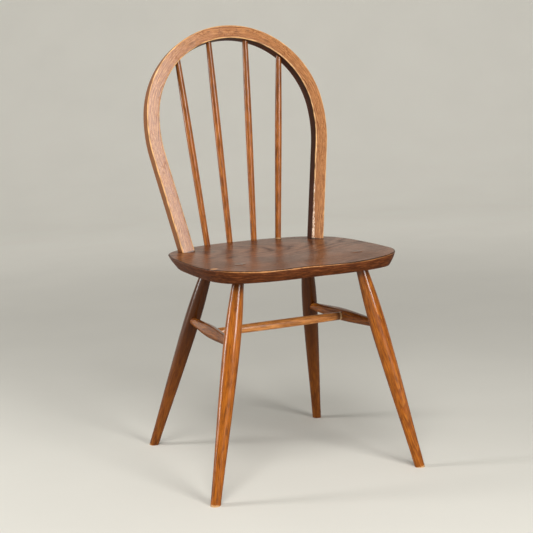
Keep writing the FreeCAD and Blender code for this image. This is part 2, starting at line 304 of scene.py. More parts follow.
def beech_colour(add, local, pith, light, base, dark, seed):
    """Colour, streaks and height of turned beech, in millimetres round its own axis."""
    warp = add("TexNoise", {"Vector": add("Mapping", {
        "Vector": local, "Location": (seed * 7.3, seed * 3.1, seed * 5.7), "Scale": (0.03, 0.03, 0.006)}),
        "Scale": 1.0, "Detail": 2.0}, output=1)
    bent = add("VectorMath", {0: warp, 1: (16, 16, 0), 2: local}, operation="MULTIPLY_ADD")
    from_pith = add("VectorMath", {0: bent, 1: (1, 1, 0), 2: (*pith, 0)}, operation="MULTIPLY_ADD")
    reach = add("VectorMath", {0: from_pith}, operation="LENGTH", output=1)
    height = add("SeparateXYZ", {0: local}, output=2)
    taper = add("Math", {0: height, 1: 0.02, 2: reach}, operation="MULTIPLY_ADD")
    # Each year has light early wood, then a darker late line.
    early = [a * 0.5 + b * 0.5 for a, b in zip(light, base)]
    late = [b * 0.62 + d * 0.38 for b, d in zip(base, dark)]
    year = add("Math", {0: taper, 1: 1 / BEECH_YEAR}, operation="MULTIPLY")
    ring = add("Math", {0: year}, operation="FRACT")
    grown = add("ValToRGB", {0: ring}, stops=[(0.0, early), (0.5, base), (0.88, late), (1.0, base)])
    # Fine pores along the grain, drawn a millimetre wide so that they show.
    wood, streak = unevenly_stained(add, grown, local, (0.9, 0.9, 0.03), 0.75,
                                    ((0.34, "#8A8078"), (0.5, "#DCD6D0"), (0.66, "#FFFFFF")),
                                    roughness=0.65, moved=(seed, seed * 2, 0))
    # Patches 5 mm wide and some centimetres long where the stain took unevenly.
    stained, _ = unevenly_stained(add, wood, local, (0.16, 0.16, 0.035), 0.75,
                                  ((0.36, "#A4968A"), (0.5, "#E6DED6"), (0.62, "#FFFFFF")),
                                  detail=4.0, roughness=0.62, moved=(0, seed * 4, seed))
    # Beech's medullary flecks: dashes about 0.4 by 2.5 mm.
    fleck = add("TexVoronoi", {"Vector": add("Mapping", {
        "Vector": local, "Location": (seed * 2, 0, seed), "Scale": (0.55, 0.55, 0.12)}), "Scale": 1.0})
    flecked, _ = laid_over(add, stained, dark, fleck, (0.10, 0.17), (0.55, 0.0))
    return flecked, streak, height


def lacquered_beech(node, axis, look, seed, shaded=(), tones="turned", worn_foot=False, pale_ring=None,
                    shown_top=None, duller=None):
    """Turned beech, stained and lacquered: straight fine grain, short dark flecks and a long soft highlight.

    In millimetres along the axis, shaded holds (from, to, amount) where handling, joints and painted shade
    darken it, pale_ring the ends of bare wood where a joint has drawn, shown_top where a tenon's end begins,
    and duller (from, to, amount) where hands have taken some of the lacquer's gloss."""
    material, add, shader = new_wood(f"beech_{node}", 0.13)
    local = along_axis(add, *axis)
    light, base, dark = (linear(getattr(look, f"{tones}_{tone}")) for tone in ("light", "base", "dark"))
    colour, streak, height = beech_colour(add, local, (31, 17 + seed % 3 * 9), light, base, dark, seed)
    handling_and_shade, bare_wood, tenon_end = (linear(c) for c in (look.handling_and_shade, look.bare_wood, look.tenon_end))
    # Each span is painted darker: handling and joints, and also painted shade and shadow.
    for near, far, amount in shaded:
        colour, _ = laid_over(add, colour, handling_and_shade, height, (near, far), (0.0, amount), **SMOOTH)
    if worn_foot:
        # The rim that scrapes the floor has lost its lacquer over the lowest 2 mm or so.
        scrape = add("Math", {0: streak, 1: 7.0, 2: height}, operation="MULTIPLY_ADD")
        colour, _ = laid_over(add, colour, bare_wood, scrape, (4.4, 5.8), (0.85, 0.0))
    if pale_ring:
        from_ring = add("Math", {0: height, 1: sum(pale_ring) / 2}, operation="SUBTRACT")
        off = add("Math", {0: from_ring}, operation="ABSOLUTE")
        half = (pale_ring[1] - pale_ring[0]) / 2
        colour, _ = laid_over(add, colour, bare_wood, off, (half, half - 0.5), (0.0, 0.9))
    coat, dull = 0.8, None
    if shown_top:
        # The tenon's end lies in the seat's top and took the seat's stain.
        colour, top = laid_over(add, colour, tenon_end, height, (shown_top - 4, shown_top), (0.0, 0.92))
        dull = add("Math", {0: top, 1: 0.3}, operation="MULTIPLY")
    elif duller:
        coat = 0.9
        dull = add("MapRange", {0: height, 1: duller[0], 2: duller[1], 3: 0.0, 4: duller[2]}, **SMOOTH)
    finish_wood(add, shader, colour, streak, depth=0.0002, coat=coat, dull=dull)
    return material


def end_grain(look):
    """Sawn hardwood ends, a shade darker than the sides because they drink the stain."""
    material, add, shader = new_wood("wedge_ends", 0.22)
    place = add("TexCoord", output=3)
    local = add("Mapping", {"Vector": place, "Scale": [TO_MM] * 3})
    base, dark = linear(look.tenon_end), linear(look.seat_dark)
    colour, streak, _ = beech_colour(add, local, (9, 4), base, base, dark, seed=5)
    finish_wood(add, shader, colour, streak, depth=0.0002, coat=0.48)
    return material


def bent_ash(look):
    """Steam-bent ash, stained and lacquered.

    The grain follows the bend, the arrises are rubbed pale, and there are small dents and specks."""
    material, add, shader = new_wood("bent_ash", 0.14)
    grain = add("Attribute", attribute_name="grain", output=1)
    across, depth, along = (add("SeparateXYZ", {0: grain}, output=i) for i in range(3))
    light, base, dark = (linear(c) for c in (look.hoop_light, look.hoop_base, look.hoop_dark))
    # Year lines about 2 mm apart cross the front face at a low angle and wander along it.
    warp = add("TexNoise", {"Vector": add("Mapping", {
        "Vector": grain, "Scale": (0.05, 0.05, 0.006)}), "Scale": 1.0, "Detail": 3.0})
    sloped = add("VectorMath", {0: grain, 1: (0.42, 0.16, 0.004)}, operation="DOT_PRODUCT", output=1)
    year = add("Math", {0: warp, 1: 9.0, 2: sloped}, operation="MULTIPLY_ADD")
    ring = add("Math", {0: year}, operation="FRACT")
    grown = add("ValToRGB", {0: ring}, stops=[(0.0, light), (0.5, base), (0.88, dark), (1.0, base)])
    # Open pores, drawn a millimetre wide so that they show.
    colour, streak = unevenly_stained(add, grown, grain, (0.8, 0.8, 0.035), 0.7,
                                      ((0.36, "#8C827A"), (0.5, "#E6E0DC"), (0.64, "#FFFFFF")))
    # The stain took unevenly: flecks and patches of some millimetres, drawn out along the grain.
    colour, _ = unevenly_stained(add, colour, grain, (0.26, 0.26, 0.07), 0.8,
                                 ((0.36, "#B4A89E"), (0.5, "#EAE4DE"), (0.64, "#FFFFFF")),
                                 detail=4.0, roughness=0.75)
    # Dirt and small dents: dark specks 1 to 3 mm long, in drifts.
    speck = add("TexVoronoi", {"Vector": add("Mapping", {
        "Vector": grain, "Scale": (0.3, 0.3, 0.16)}), "Scale": 1.0})
    drift = add("TexNoise", {"Vector": grain, "Scale": 0.02, "Detail": 2.0})
    size = add("MapRange", {0: drift, 1: 0.42, 2: 0.62, 3: 0.08, 4: 0.36})
    inside = add("Math", {0: speck, 1: size}, operation="LESS_THAN")
    dented = add("Math", {0: inside, 1: 0.75}, operation="MULTIPLY")
    colour = add("Mix", {0: dented, 6: colour, 7: dark}, **COLOURS)
    # The front face darkens towards its inner margin, and the side faces are painted darker as shade.
    flat = HOOP_WIDE / 2 - HOOP_ROUND
    colour, _ = laid_over(add, colour, dark, across, (5.0, -flat - 0.4), (0.0, 0.4))
    colour, side_shade = laid_over(add, colour, dark, across, (flat + 1.0, flat + 2.2), (0.0, 0.8))
    # The inner faces keep a dark old finish, and are painted darker still as shade where they face in and
    # down.
    old_finish_and_shade = linear(look.hoop_inside)
    colour, inner = laid_over(add, colour, old_finish_and_shade, across, (-flat - 0.4, -flat - 2.0), (0.0, 1.0))
    # Each arris is rubbed through to paler wood, in a line of uneven width.
    from_middle = add("Math", {0: across}, operation="ABSOLUTE")
    side = add("Math", {0: from_middle, 1: flat}, operation="SUBTRACT")
    face = add("Math", {0: HOOP_ROUND, 1: depth}, operation="SUBTRACT")
    corner = add("Math", {0: side, 1: face}, operation="MINIMUM")
    rub = add("TexNoise", {"Vector": add("Mapping", {
        "Vector": grain, "Scale": (0.2, 0.2, 0.05)}), "Scale": 1.0, "Detail": 4.0})
    ragged = add("Math", {0: rub, 1: 5.0, 2: corner}, operation="MULTIPLY_ADD")
    colour, _ = laid_over(add, colour, linear(look.rubbed_arris), ragged, (2.6, 4.1), (0.0, look.arris_wear))
    # On the right leg the inner arris is worn back to grey, flaking wood, widest at the foot.
    x = add("SeparateXYZ", {0: add("TexCoord", output=3)}, output=0)
    right = add("Math", {0: x, 1: 0.0}, operation="GREATER_THAN")
    wide = add("MapRange", {0: along, 1: 0.0, 2: 150.0, 3: 6.5, 4: 0.0})
    flake = add("TexNoise", {"Vector": add("Mapping", {
        "Vector": grain, "Scale": (0.55, 0.55, 0.14)}), "Scale": 1.0, "Detail": 5.0, "Roughness": 0.7})
    from_arris = add("Math", {0: across, 1: HOOP_WIDE / 2 + 1.0}, operation="ADD")
    edge = add("Math", {0: wide, 1: from_arris}, operation="SUBTRACT")
    torn = add("Math", {0: flake, 1: 7.0, 2: edge}, operation="MULTIPLY_ADD")
    shown = add("MapRange", {0: torn, 1: 3.2, 2: 4.2, 3: 0.0, 4: 1.0})
    in_front = add("MapRange", {0: depth, 1: 1.6, 2: 2.6, 3: 1.0, 4: 0.0})
    bared = add("Math", {0: shown, 1: in_front}, operation="MULTIPLY")
    bared = add("Math", {0: bared, 1: right}, operation="MULTIPLY")
    flaked = add("ValToRGB", {0: flake}, stops=[(0.42, "#5E4436"), (0.5, "#D0AA8A"), (0.6, "#F2E0CC")])
    colour = add("Mix", {0: bared, 6: colour, 7: flaked}, **COLOURS)
    # Wax and dirt lie in a dark line where each foot meets the seat.
    colour, _ = laid_over(add, colour, linear(look.joint_line), along, (2.2, 0.8), (0.0, 0.85))
    dulled = inner
    for dull in (side_shade, dented, bared):
        dulled = add("Math", {0: dulled, 1: dull}, operation="MAXIMUM")
    finish_wood(add, shader, colour, streak, depth=0.00025, coat=0.5, dull=dulled)
    return material


def elm_plank(look):
    """A flat-sawn elm board, stained and lacquered.

    Broad cathedral grain runs from side to side, the pores are open and the front edge is rubbed."""
    material, add, shader = new_wood("elm_plank", 0.22)
    place = add("TexCoord", output=3)
    local = add("Mapping", {"Vector": place, "Scale": [TO_MM] * 3,
                            "Location": (0, -PITH_BACK, PITH_DOWN - SEAT_TOP)})
    warp = add("TexNoise", {"Vector": add("Mapping", {
        "Vector": local, "Scale": (0.006, 0.014, 0.014)}), "Scale": 1.0, "Detail": 2.0}, output=1)
    bent = add("VectorMath", {0: warp, 1: (0, 50, 26), 2: local}, operation="MULTIPLY_ADD")
    from_pith = add("VectorMath", {0: bent, 1: (0, 1, 1)}, operation="MULTIPLY")
    reach = add("VectorMath", {0: from_pith}, operation="LENGTH", output=1)
    x, y = (add("SeparateXYZ", {0: local}, output=i) for i in range(2))
    cone = add("Math", {0: x, 1: 0.14, 2: reach}, operation="MULTIPLY_ADD")
    # Each year ends in a dark line, and the lines come and go across the board.
    year = add("Math", {0: cone, 1: 1 / ELM_YEAR}, operation="MULTIPLY")
    ring = add("Math", {0: year}, operation="FRACT")
    light, base, dark = (linear(c) for c in (look.seat_light, look.seat_base, look.seat_dark))
    tones = [(0.0, base), (0.4, light), (0.72, base), (0.93, dark), (1.0, base)]
    grown = add("ValToRGB", {0: ring}, stops=tones)
    patch = add("TexNoise", {"Vector": local, "Scale": 0.012, "Detail": 3.0})
    drawn = add("MapRange", {0: patch, 1: 0.36, 2: 0.64, 3: 0.9, 4: 0.4})
    grown = add("Mix", {0: drawn, 6: base, 7: grown}, **COLOURS)
    # Open pores: dashes along the grain, drawn a millimetre wide so that they show.
    colour, streak = unevenly_stained(add, grown, local, (0.05, 0.9, 0.9), 0.8,
                                      ((0.35, "#3C342E"), (0.5, "#CFC8C2"), (0.66, "#FFFFFF")))
    stain = add("ValToRGB", {0: patch}, stops=[(0.38, "#B8AEA8"), (0.62, "#FFFFFF")])
    colour = add("Mix", {0: 0.7, 6: colour, 7: stain}, **STAINING)
    # Late wood and open pores take less polish.
    tone = add("RGBToBW", {0: colour})
    unpolished = add("MapRange", {0: tone, 1: 0.07, 2: 0.02, 3: 0.0, 4: 0.8})
    # The band under the rim took more stain, and is painted darker as shade where it faces down.
    rim = add("Attribute", attribute_name="rim", output=2)
    pore = add("TexNoise", {"Vector": add("Mapping", {
        "Vector": local, "Scale": (0.05, 0.05, 0.4)}), "Scale": 1.0, "Detail": 5.0, "Roughness": 0.7})
    stained = add("ValToRGB", {0: pore}, stops=[(0.3, dark), (0.5, look.seat_edge), (0.8, base)])
    colour, band = laid_over(add, colour, stained, rim, (-1.0, -3.0), (0.0, 0.92))
    # Old polish lies dark along the top of the rim, and the wood just below is rubbed through.
    above = add("Math", {0: rim, 1: 0.4}, operation="SUBTRACT")
    off = add("Math", {0: above}, operation="ABSOLUTE")
    colour, wax = laid_over(add, colour, linear(look.joint_line), off, (0.8, 1.8), (0.9, 0.0))
    # The wear is widest at the front, from the left corner to the pommel, and thins out to the right.
    rub = add("TexNoise", {"Vector": local, "Scale": 0.05, "Detail": 5.0, "Roughness": 0.6})
    front = add("MapRange", {0: y, 1: -245.0, 2: -282.0, 3: 0.25, 4: 1.0})
    rightward = add("MapRange", {0: x, 1: -60.0, 2: 60.0, 3: 1.0, 4: 0.62})
    wide = add("Math", {0: rub, 1: front}, operation="MULTIPLY")
    wide = add("Math", {0: wide, 1: rightward}, operation="MULTIPLY")
    below = add("Math", {0: rim, 1: 1.9}, operation="ADD")
    off = add("Math", {0: below}, operation="ABSOLUTE")
    near = add("Math", {0: off, 1: -1.0}, operation="MULTIPLY")
    ragged = add("Math", {0: wide, 1: 4.8, 2: near}, operation="MULTIPLY_ADD")
    rubbed_wood = linear(look.rubbed_wood)
    colour, _ = laid_over(add, colour, rubbed_wood, ragged, (0.4, 2.2), (0.0, look.rim_wear))
    # At the front left corner a chip shows the bare wood, and its pale spot is also a painted highlight.
    off = add("VectorMath", {0: place, 1: CHIP_GLINT_AT}, operation="SUBTRACT")
    off = add("VectorMath", {0: off, 1: CHIP_GLINT_SCALE}, operation="MULTIPLY")
    away = add("VectorMath", {0: off}, operation="LENGTH", output=1)
    torn = add("Math", {0: rub, 1: -14.0, 2: away}, operation="MULTIPLY_ADD")
    colour, _ = laid_over(add, colour, rubbed_wood, torn, (0.0, 3.0), (0.9, 0.0))
    dulled = add("Math", {0: band, 1: wax}, operation="MAXIMUM")
    dulled = add("Math", {0: dulled, 1: unpolished}, operation="MAXIMUM")
    finish_wood(add, shader, colour, streak, depth=0.0004, coat=0.55, dull=dulled)
    return material


def studio_paper(colour):
    """Matt studio paper with a faint mottle."""
    material = bpy.data.materials.new("studio_paper")
    material.use_nodes = True
    tree = material.node_tree
    add, shader = partial(add_node, tree), tree.nodes["Principled BSDF"]
    shader.inputs["Roughness"].default_value = 0.9
    place = add("TexCoord", output=3)
    mottle = add("TexNoise", {"Vector": place, "Scale": 3.0, "Detail": 4.0})
    pale, deep = linear(colour), [c * 0.97 for c in linear(colour)[:3]] + [1.0]
    tint = add("ValToRGB", {0: mottle}, stops=[(0.3, deep), (0.7, pale)])
    camera_ray, glossy_ray = (add("LightPath", output=i) for i in (0, 3))
    away = add("VectorMath", {0: place}, operation="LENGTH", output=1)
    # Near the chair the paper is darker in the lacquer than to the eye, so that dark wood stays dark.
    near = add("MapRange", {0: away, 1: 0.8, 2: 2.4, 3: 0.75, 4: 0.0}, **SMOOTH)
    mirrored = add("Math", {0: glossy_ray, 1: near}, operation="MULTIPLY")
    shown = add("Mix", {0: mirrored, 6: tint, 7: (0, 0, 0, 1)}, **COLOURS)
    tree.links.new(shown, shader.inputs["Base Color"])
    # The paper far behind looks as pale as the paper near the chair, and lights nothing.
    seen = add("Math", {0: camera_ray, 1: glossy_ray}, operation="MAXIMUM")
    far = add("MapRange", {0: away, 1: 0.8, 2: 4.0, 3: 0.0, 4: 0.46}, **SMOOTH)
    glow = add("Math", {0: seen, 1: far}, operation="MULTIPLY")
    tree.links.new(tint, shader.inputs["Emission Color"])
    tree.links.new(glow, shader.inputs["Emission Strength"])
    return material


# Modelling


def edit_selected(kind):
    """Edit mode on the active object, in the given selection mode, with nothing selected."""
    bpy.ops.object.mode_set(mode="EDIT")
    bpy.ops.mesh.select_mode(type=kind)
    bpy.ops.mesh.select_all(action="DESELECT")


def select_edges(piece, test):
    """Selects the edges whose ends both pass the test."""
    mesh = bmesh.from_edit_mesh(piece.data)
    for edge in mesh.edges:
        edge.select = all(test(v.co) for v in edge.verts)
    bmesh.update_edit_mesh(piece.data)


def face_outwards():
    """Turns every face of the mesh in edit mode outwards."""
    bpy.ops.mesh.select_all(action="SELECT")
    bpy.ops.mesh.normals_make_consistent(inside=False)


def finish_piece(piece, name, material, slot, *nodes):
    """Names a new piece, applies its place, shades it and ties it to the frame."""
    bpy.ops.object.mode_set(mode="OBJECT")
    bpy.ops.object.select_all(action="DESELECT")
    piece.select_set(True)
    bpy.context.view_layer.objects.active = piece
    bpy.ops.object.transform_apply(location=True, rotation=True, scale=True)
    bpy.ops.object.shade_smooth_by_angle(angle=math.radians(40))
    # Flat faces stay flat in the sheen, and only the rounded corners turn.
    piece.modifiers.new("flat_faces", "WEIGHTED_NORMAL").keep_sharp = True
    bpy.ops.object.modifier_apply(modifier="flat_faces")
    piece.name = piece.data.name = name
    piece.data.materials.clear()
    piece.data.materials.append(material)
    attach(piece, BODY)
    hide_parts(*nodes)


def dress(node, material):
    """Gives a CAD node its material and leaves its shape alone."""
    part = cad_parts[node]
    if not part.material_slots:
        part.data.materials.append(material)
    for slot in part.material_slots:
        slot.material = material


def spin_hoop_half():
    """Bends the section, the mesh in hand, from the crown's top down the right side to its foot."""
    knee, side, crown_rise, _ = hoop_arcs()
    bpy.ops.object.mode_set(mode="EDIT")
    bpy.ops.mesh.select_all(action="SELECT")
    bpy.ops.mesh.bevel(offset=HOOP_ROUND * MM, offset_type="OFFSET", segments=4, affect="VERTICES")
    bpy.ops.mesh.select_all(action="SELECT")
    bpy.ops.mesh.delete(type="ONLY_FACE")
    bpy.ops.mesh.select_all(action="SELECT")
    crown_turn = math.pi / 2 - (HOOP_SIDE_TURN - HOOP_SPLAY)
    for arc, angle, (x, rise) in (("crown", crown_turn, (0, crown_rise)), ("side", HOOP_SIDE_TURN, side)):
        bpy.ops.mesh.spin(steps=HOOP_STEPS[arc], angle=-angle, center=on_hoop(x, rise, 0), axis=HOOP_BACK)
    down = on_hoop(HOOP_FOOT[0], 0, 0) - on_hoop(knee.x, knee.y, 0)
    for _ in range(HOOP_STEPS["leg"] + STEPS_BELOW_FOOT):
        bpy.ops.mesh.extrude_region_move(TRANSFORM_OT_translate={"value": down / HOOP_STEPS["leg"]})
    bpy.ops.mesh.select_all(action="SELECT")
    shoulder = (0, 0, (SEAT_TOP + SHOULDER_GAP) * MM)
    bpy.ops.mesh.bisect(plane_co=shoulder, plane_no=(0, 0, 1), use_fill=True, clear_inner=True)


def grain_at(place):
    """Across, depth and length along the hoop, in millimetres, of a point on either half."""
    knee, side, crown_rise, crown_radius = hoop_arcs()
    from_foot = (place - on_hoop(0, 0, 0)) * TO_MM
    flat = Vector((abs(from_foot.x), from_foot.dot(HOOP_UP)))
    depth = from_foot.dot(HOOP_BACK)
    length = (flat - Vector((HOOP_FOOT[0], 0))).dot(LEG_RUN)
    if length <= HOOP_STRAIGHT:
        return Vector(((flat - knee).dot(LEG_OUT), depth, length))
    spoke = flat - side
    turned = math.atan2(spoke.y, spoke.x) + HOOP_SPLAY
    if turned <= HOOP_SIDE_TURN:
        return Vector((spoke.length - HOOP_SIDE_RADIUS, depth, HOOP_STRAIGHT + HOOP_SIDE_RADIUS * turned))
    spoke = flat - Vector((0, crown_rise))
    turned = math.atan2(spoke.y, spoke.x) + HOOP_SPLAY - HOOP_SIDE_TURN
    crown_start = HOOP_STRAIGHT + HOOP_SIDE_RADIUS * HOOP_SIDE_TURN
    return Vector((spoke.length - crown_radius, depth, crown_start + crown_radius * turned))


def seat_rim():
    """Points and outward normals evenly round the seat's edge, in CAD millimetres, from the front centre."""
    loop = [Vector(p) for p in SEAT_EDGE] + [Vector((-x, y)) for x, y in SEAT_EDGE[-2:0:-1]]
    n = len(loop)
    chord = [(loop[(i + 1) % n] - loop[i]).length for i in range(n)]
    tangent = []
    for i in range(n):
        a, b = chord[i - 1], chord[i]
        tangent.append(((loop[i] - loop[i - 1]) / a * b + (loop[(i + 1) % n] - loop[i]) / b * a) / (a + b))
    fine, heading = [], []
    for i in range(n):
        j, c = (i + 1) % n, chord[i]
        for k in range(SPLINE_STEPS):
            t = k / SPLINE_STEPS
            fine.append(loop[i] * (2 * t**3 - 3 * t**2 + 1) + tangent[i] * c * (t**3 - 2 * t**2 + t)
                        + loop[j] * (3 * t**2 - 2 * t**3) + tangent[j] * c * (t**3 - t**2))
            heading.append((loop[i] * (6 * t**2 - 6 * t) + tangent[i] * c * (3 * t**2 - 4 * t + 1)
                            + loop[j] * (6 * t - 6 * t**2)
                            + tangent[j] * c * (3 * t**2 - 2 * t)).normalized())
    walked = [0.0]
    for i in range(len(fine)):
        walked.append(walked[-1] + (fine[(i + 1) % len(fine)] - fine[i]).length)
    rim, at = [], 0
    for k in range(RIM_POINTS):
        want = walked[-1] * k / RIM_POINTS
        while walked[at + 1] <= want:
            at += 1
        share = (want - walked[at]) / (walked[at + 1] - walked[at])
        here = fine[at].lerp(fine[(at + 1) % len(fine)], share)
        rim.append((here, Vector((heading[at].y, -heading[at].x))))
    return rim


def saddle(x, y, sizes):
    """Height of the top in millimetres: the dish, and a front edge worn down each side of a low pommel."""
    spread = (x / DISH_REACH[0]) ** 2 + ((y - DISH_Y) / DISH_REACH[1]) ** 2
    dish = sizes.dish_depth * TO_MM * max(0.0, 1 - spread) ** 2
    forward = eased(share_of(-y, *WORN_IN_FRONT))
    across = eased(share_of(-abs(x), *WORN_ACROSS))
    worn = sum((more * math.exp(-((x - middle) / reach) ** 2) for more, middle, reach in THIGH_WEAR), 1)
    return SEAT_TOP - TENONS_PROUD - dish - sizes.thigh_depth * TO_MM * worn * forward * across


def shape_seat(sizes):
    """Rings from the underside up the bevel, band and rim, then in over the saddled top to its middle."""
    rim = seat_rim()
    middle = Vector((0, SEAT_MIDDLE_Y))
    bpy.ops.mesh.primitive_circle_add(vertices=RIM_POINTS, radius=0.18, fill_type="NGON", location=(0, 0, 0))
    seat = bpy.context.object
    edit_selected("VERT")
    mesh = bmesh.from_edit_mesh(seat.data)
    turn = mesh.verts.layers.float.new("turn")
    arris = mesh.verts.layers.float.new("rim")
    mesh.verts.ensure_lookup_table()
    for k, vert in enumerate(mesh.verts):
        here, out = rim[k]
        vert[turn], vert[arris] = k, UNDERSIDE_RIM
        behind = share_of(here.y, *SIDE_EDGE_Y)
        vert.co = point(*(here - out * (UNDER_IN[0] + UNDER_IN[1] * behind)), SEAT_UNDER)
    bmesh.update_edit_mesh(seat.data)
    bpy.ops.mesh.select_all(action="SELECT")
    for step, ring in enumerate(SEAT_RINGS + TOP_RINGS):
        bpy.ops.mesh.extrude_edges_move(TRANSFORM_OT_translate={"value": (0, 0, MM)})
        mesh = bmesh.from_edit_mesh(seat.data)
        turn, arris = mesh.verts.layers.float["turn"], mesh.verts.layers.float["rim"]
        for vert in (v for v in mesh.verts if v.select):
            here, out = rim[round(vert[turn])]
            if step < len(SEAT_RINGS):
                front_in, side_in, rise, from_arris = ring
                behind = share_of(here.y, *SIDE_EDGE_Y)
                place = here - out * (front_in + (side_in - front_in) * behind)
                top = saddle(*place, sizes)
                height = top + rise if rise <= 0 else SEAT_UNDER + (top - SEAT_UNDER) * rise
            else:
                from_arris = OPEN_TOP_RIM
                place = middle + (here - out * TOP_RIM_IN - middle) * ring
                height = saddle(*place, sizes)
            vert[arris] = from_arris
            vert.co = point(*place, height)
        bmesh.update_edit_mesh(seat.data)
    bpy.ops.mesh.merge(type="CENTER")
    mesh = bmesh.from_edit_mesh(seat.data)
    for vert in (v for v in mesh.verts if v.select):
        vert.co = point(*middle, saddle(*middle, sizes))
        vert[mesh.verts.layers.float["rim"]] = OPEN_TOP_RIM
    bmesh.update_edit_mesh(seat.data)
    face_outwards()
    return seat


# Sizes and colours


def hex_property(name, description, default):
    return StringProperty(name=name, description=f"{description}, sRGB", default=default)


class ChairLook(bpy.types.PropertyGroup):
    hoop_light: hex_property("Hoop light", "Early wood of the hoop", "#DCA870")
    hoop_base: hex_property("Hoop base", "Body colour of the hoop", "#C6844E")
    hoop_inside: hex_property("Hoop inside", "Dark old finish and painted shade on the hoop's inner face", "#4A220C")
    hoop_dark: hex_property("Hoop dark", "Late wood, dirt and painted shade of the hoop", "#7A451E")
    turned_light: hex_property("Turned light", "Early wood of legs and side stretchers", "#D48A2C")
    turned_base: hex_property("Turned base", "Body colour of legs and side stretchers", "#BA6816")
    turned_dark: hex_property("Turned dark", "Late wood and flecks of legs and side stretchers", "#743606")
    spindle_light: hex_property("Spindle light", "Early wood of the spindles", "#D28E4C")
    spindle_base: hex_property("Spindle base", "Body colour of the spindles", "#B66C2C")
    spindle_dark: hex_property("Spindle dark", "Late wood and flecks of the spindles", "#6A3410")
    # The cross stretcher's tones are painted light: paler than the other beech turnings, as if lit brighter.
    cross_light: hex_property("Cross light", "Early wood of the cross stretcher, with painted light", "#F8B878")
    cross_base: hex_property("Cross base", "Body colour of the cross stretcher, with painted light", "#EC9E54")
    cross_dark: hex_property("Cross dark", "Late wood and flecks of the cross stretcher, with painted light", "#AC7034")
    seat_light: hex_property("Seat light", "Early wood of the seat", "#B4784A")
    seat_base: hex_property("Seat base", "Body colour of the seat", "#8E5028")
    seat_dark: hex_property("Seat dark", "Year lines of the seat, and flecks of the wedges", "#341606")
    seat_edge: hex_property("Seat edge", "Band under the seat's rim", "#50260C")
    tenon_end: hex_property("Tenon end", "End grain of leg tenons and wedges in the seat's top", "#6C4024")
    # This colour also paints shade: the seat's shadow on the legs' tops, the back legs, the cross
    # stretcher's right end.
    handling_and_shade: hex_property("Handling and shade", "Where handling darkened the finish, and painted shade", "#462004")
    rubbed_arris: hex_property("Rubbed arris", "The hoop's edges where the stain has gone", "#F0BE82")
    rubbed_wood: hex_property("Rubbed wood", "The seat's rim and chip, rubbed through the stain; the chip also a painted highlight", "#D29458")
    bare_wood: hex_property("Bare wood", "Wood without its lacquer, at the feet and drawn joints", "#C9A070")
    joint_line: hex_property("Joint line", "Old wax and dirt at the hoop's feet and seat's rim", "#2A160D")
    arris_wear: FloatProperty(name="Arris wear", description="How far the hoop's edges are rubbed through",
                              default=0.8, min=0, max=1, subtype="FACTOR")
    rim_wear: FloatProperty(name="Rim wear", description="How far the seat's front rim is rubbed through",
                            default=0.66, min=0, max=1, subtype="FACTOR")
    dish_depth: FloatProperty(name="Dish depth", description="Depth of the seat's hollow",
                              default=0.005, unit="LENGTH")
    thigh_depth: FloatProperty(name="Thigh hollows", default=0.0042, unit="LENGTH",
                               description="Drop of the front edge each side of the pommel")


class ChairStage(bpy.types.PropertyGroup):
    azimuth: FloatProperty(name="Azimuth", description="Camera's angle round the chair from the front",
                           default=math.radians(-22.64), unit="ROTATION")
    elevation: FloatProperty(name="Elevation", description="Camera's angle above the chair",
                             default=math.radians(8.64), unit="ROTATION")
    roll: FloatProperty(name="Roll", description="Camera's turn about its own line of sight",
                        default=math.radians(-2.89), unit="ROTATION")
    distance: FloatProperty(name="Distance", description="From the camera to the chair's middle",
                            default=2.33706, unit="LENGTH")
    lens_px: FloatProperty(name="Lens in pixels", description="Focal length in pixels of the photograph",
                           default=1199.87)
    paper: hex_property("Paper", "Colour of the floor and backdrop", "#D8D5CB")
    main_power: FloatProperty(name="Main power", default=54, unit="POWER",
                              description="Power of the high lamp in front, to the left")
    sheen_power: FloatProperty(name="Sheen power", default=71, unit="POWER",
                               description="Power of the low lamp, for sheen on hoop and turnings")
    side_power: FloatProperty(name="Side power", default=34, unit="POWER",
                              description="Power of the left lamp, for sheen along each turning")
    sky: FloatProperty(name="Sky", description="Strength of the even light all round", default=0.24, min=0)
    sky_sheen: FloatProperty(name="Sky in the sheen", default=0.12, min=0,
                             description="Strength of the sky as the lacquer mirrors it")


# Operators


class CHAIR_OT_seat(bpy.types.Operator):
    """Models the saddled elm seat over the CAD plank"""
    bl_idname = "chair.seat"
    bl_label = "Seat"

    def execute(self, context):
        look = context.scene.chair_look
        bpy.ops.object.select_all(action="DESELECT")
        finish_piece(shape_seat(look), "saddled_seat", elm_plank(look), "seat", "seat")
        return {"FINISHED"}


class CHAIR_OT_hoop(bpy.types.Operator):
    """Bends the hoop from one section and mirrors it"""
    bl_idname = "chair.hoop"
    bl_label = "Hoop"

    def execute(self, context):
        bpy.ops.object.select_all(action="DESELECT")
        crown_rise, crown_radius = hoop_arcs()[2:]
        square = Matrix((HOOP_UP, HOOP_BACK, (-1, 0, 0))).transposed()
        top = on_hoop(0, crown_rise + crown_radius, HOOP_DEEP / 2)
        bpy.ops.mesh.primitive_plane_add(size=1, location=top, rotation=square.to_euler())
        hoop = context.object
        hoop.scale = (HOOP_WIDE * MM, HOOP_DEEP * MM, 1)
        bpy.ops.object.transform_apply(location=True, rotation=True, scale=True)
        spin_hoop_half()
        bpy.ops.object.mode_set(mode="OBJECT")
        mirror = hoop.modifiers.new("other_side", "MIRROR")
        mirror.merge_threshold = 0.05 * MM
        bpy.ops.object.modifier_apply(modifier="other_side")
        bpy.ops.object.mode_set(mode="EDIT")
        face_outwards()
        bpy.ops.object.mode_set(mode="OBJECT")
        grain = hoop.data.attributes.new("grain", "FLOAT_VECTOR", "POINT")
        for vert, value in zip(hoop.data.vertices, grain.data):
            value.vector = grain_at(vert.co)
        finish_piece(hoop, "bent_hoop", bent_ash(context.scene.chair_look), "hoop", "hoop")
        return {"FINISHED"}


